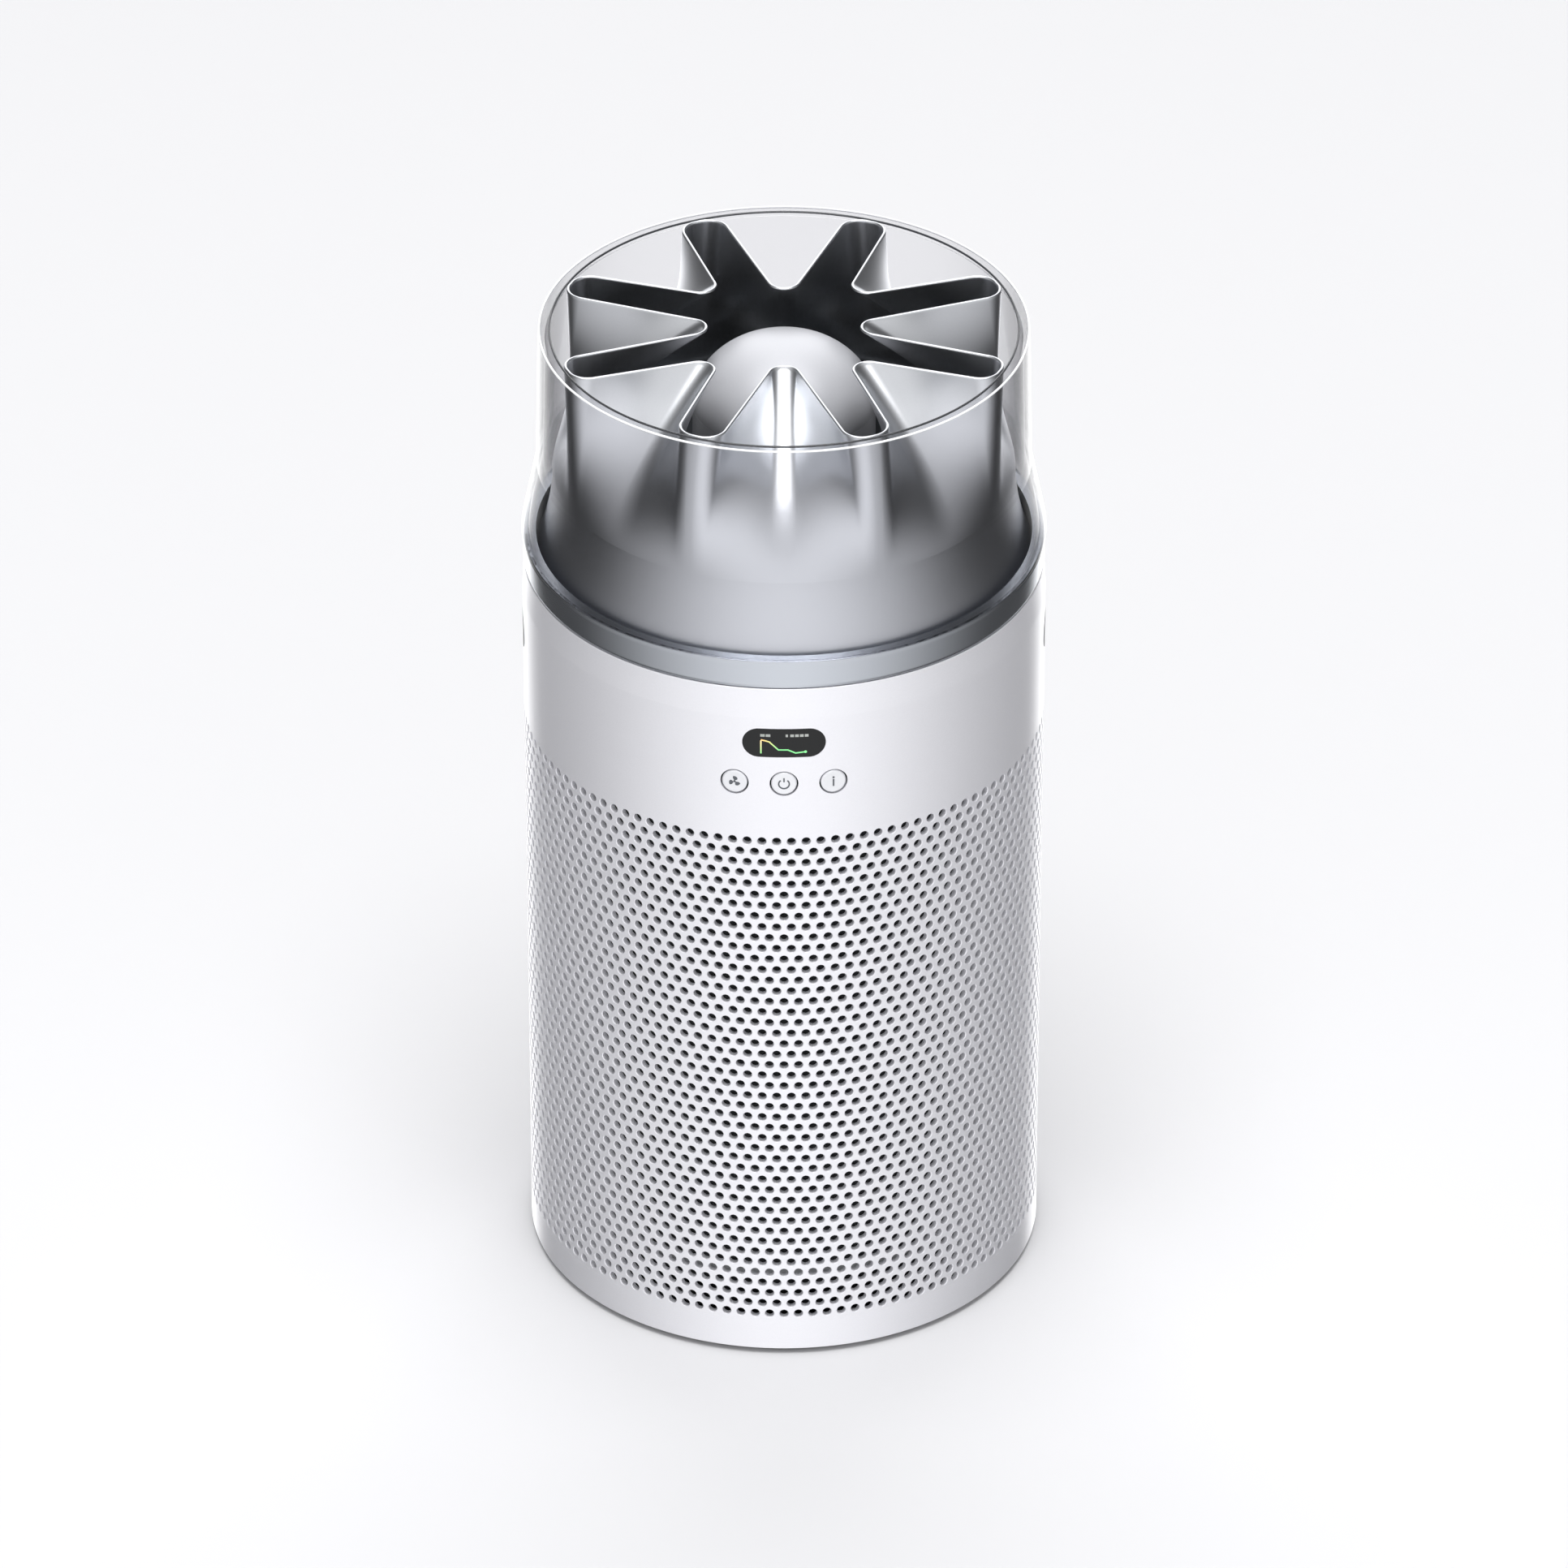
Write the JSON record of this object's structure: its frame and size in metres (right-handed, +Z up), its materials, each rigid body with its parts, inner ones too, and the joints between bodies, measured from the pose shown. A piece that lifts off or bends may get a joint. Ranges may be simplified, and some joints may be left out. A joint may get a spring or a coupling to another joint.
{
  "type": "air purifier",
  "caption": "Cylindrical room air purifier: perforated body with side release buttons, lift-off head with a fluted outlet nozzle under a clear shell, fan and bayonet filter.",
  "frame": {"origin": "centre of the base on the surface that the feet rest on", "axes": "+Z up along the body's axis, the front with the controls faces -Y, +X to the right seen from the front"},
  "size_m": [0.2304, 0.23, 0.464],
  "materials": {
    "silver_paint": "satin silver-white metallic paint on moulded ABS",
    "dark_base": "fine-textured black ABS",
    "black_rubber": "soft matt rubber",
    "zinc_screw": "zinc plated",
    "black_plastic": "moulded, slightly textured",
    "tinned_metal": "nickel plated",
    "circuit_board": "green solder mask",
    "board_parts": "moulded component bodies",
    "grey_plastic": "moulded grey ABS",
    "red_wire": "PVC insulation",
    "gold_contact": "gold plated",
    "display_glass": "polished dark tinted acrylic",
    "button_cap": "satin white-silver",
    "release_cap": "satin dark grey",
    "spring_steel": "drawn spring wire",
    "collar_grey": "glossy grey, almost a mirror",
    "clear_plastic": "clear, faintly smoky moulded polycarbonate",
    "nozzle_grey": "metallic grey paint",
    "dome_silver": "satin silver-white paint",
    "cast_motor": "die cast, bead blasted",
    "steel_lamination": "stacked laminations",
    "copper_wire": "enamelled copper wire",
    "rotor_steel": "pressed steel",
    "fan_plastic": "glass-filled nylon",
    "filter_paper": "pleated white filter paper",
    "carbon_cloth": "black activated-carbon cloth",
    "prefilter_cloth": "dark woven pre-filter net",
    "filter_cap": "moulded light grey"
  },
  "bodies": {
    "body": {"body_shell": "silver_paint", "base_plate": "dark_base", "rubber_feet": "black_rubber", "body_screws": "zinc_screw", "filter_platform": "black_plastic", "power_inlet": "black_plastic", "inlet_pins": "tinned_metal", "power_board": "circuit_board", "board_components": "board_parts", "wiring_duct": "grey_plastic", "body_wires": "red_wire", "frame_ring": "grey_plastic", "dock_contacts": "gold_contact", "display_lens": "display_glass", "display_module": "board_parts", "control_board": "circuit_board", "control_bracket": "grey_plastic", "air_quality_sensor": "black_plastic", "release_guides": "grey_plastic"},
    "fan_button": {"fan_button": "button_cap"},
    "power_button": {"power_button": "button_cap"},
    "info_button": {"info_button": "button_cap"},
    "release_left": {"release_button_left": "release_cap", "release_spring_left": "spring_steel"},
    "release_right": {"release_button_right": "release_cap", "release_spring_right": "spring_steel"},
    "head": {"latch_pins": "tinned_metal", "head_plate": "grey_plastic", "head_gasket": "black_rubber", "head_contacts": "gold_contact", "head_screws": "zinc_screw", "collar_ring": "collar_grey", "clear_shell": "clear_plastic", "star_nozzle": "nozzle_grey", "nozzle_base": "nozzle_grey", "diffuser": "grey_plastic", "motor_cover": "dome_silver", "centre_dome": "dome_silver", "motor_housing": "black_plastic", "inlet_ring": "grey_plastic", "motor_plate": "cast_motor", "motor_mounts": "black_rubber", "motor_stator": "steel_lamination", "motor_windings": "copper_wire", "motor_bearings": "tinned_metal", "motor_board": "circuit_board"},
    "latch_left": {"latch_left": "grey_plastic"},
    "latch_right": {"latch_right": "grey_plastic"},
    "fan": {"impeller": "fan_plastic", "motor_rotor": "rotor_steel", "motor_shaft": "tinned_metal", "impeller_nut": "zinc_screw"},
    "filter": {"filter_media": "filter_paper", "filter_core": "filter_cap", "carbon_sleeve": "carbon_cloth", "prefilter_sleeve": "prefilter_cloth", "filter_base_cap": "filter_cap", "filter_top_cap": "filter_cap", "filter_rims": "filter_cap", "filter_seal": "black_rubber"}
  },
  "joints": [
    {"name": "head_lift", "type": "slide", "parent": "body", "child": "head", "axis": [0, 0, 1], "range_m": [0, 0.35]},
    {"name": "filter_twist", "type": "hinge", "parent": "head", "child": "filter", "pos_m": [0, 0, 0.149], "axis": [0, 0, 1], "range_deg": [0, 25]},
    {"name": "fan_spin", "type": "hinge", "parent": "head", "child": "fan", "pos_m": [0, 0, 0.33], "axis": [0, 0, 1], "continuous": true},
    {"name": "release_left_press", "type": "slide", "parent": "body", "child": "release_left", "axis": [1, 0, 0], "range_m": [0, 0.0025], "stiffness_N_per_m": 700, "springref_m": -0.003},
    {"name": "release_right_press", "type": "slide", "parent": "body", "child": "release_right", "axis": [-1, 0, 0], "range_m": [0, 0.0025], "stiffness_N_per_m": 700, "springref_m": -0.003},
    {"name": "latch_left_swing", "type": "hinge", "parent": "head", "child": "latch_left", "pos_m": [-0.0942, 0, 0.341], "axis": [0, -1, 0], "range_deg": [0, 6]},
    {"name": "latch_right_swing", "type": "hinge", "parent": "head", "child": "latch_right", "pos_m": [0.0942, 0, 0.341], "axis": [0, 1, 0], "range_deg": [0, 6]},
    {"name": "fan_button_press", "type": "slide", "parent": "body", "child": "fan_button", "axis": [0.1865, 0.9825, 0], "range_m": [0, 0.0008], "stiffness_N_per_m": 900, "springref_m": -0.0012},
    {"name": "power_button_press", "type": "slide", "parent": "body", "child": "power_button", "axis": [0, 1, 0], "range_m": [0, 0.0008], "stiffness_N_per_m": 900, "springref_m": -0.0012},
    {"name": "info_button_press", "type": "slide", "parent": "body", "child": "info_button", "axis": [-0.1865, 0.9825, 0], "range_m": [0, 0.0008], "stiffness_N_per_m": 900, "springref_m": -0.0012}
  ],
  "couplings": [
    {"joint": "latch_left_swing", "follows": "release_left_press", "rad_per_m": 35.714},
    {"joint": "latch_right_swing", "follows": "release_right_press", "rad_per_m": 35.714}
  ]
}
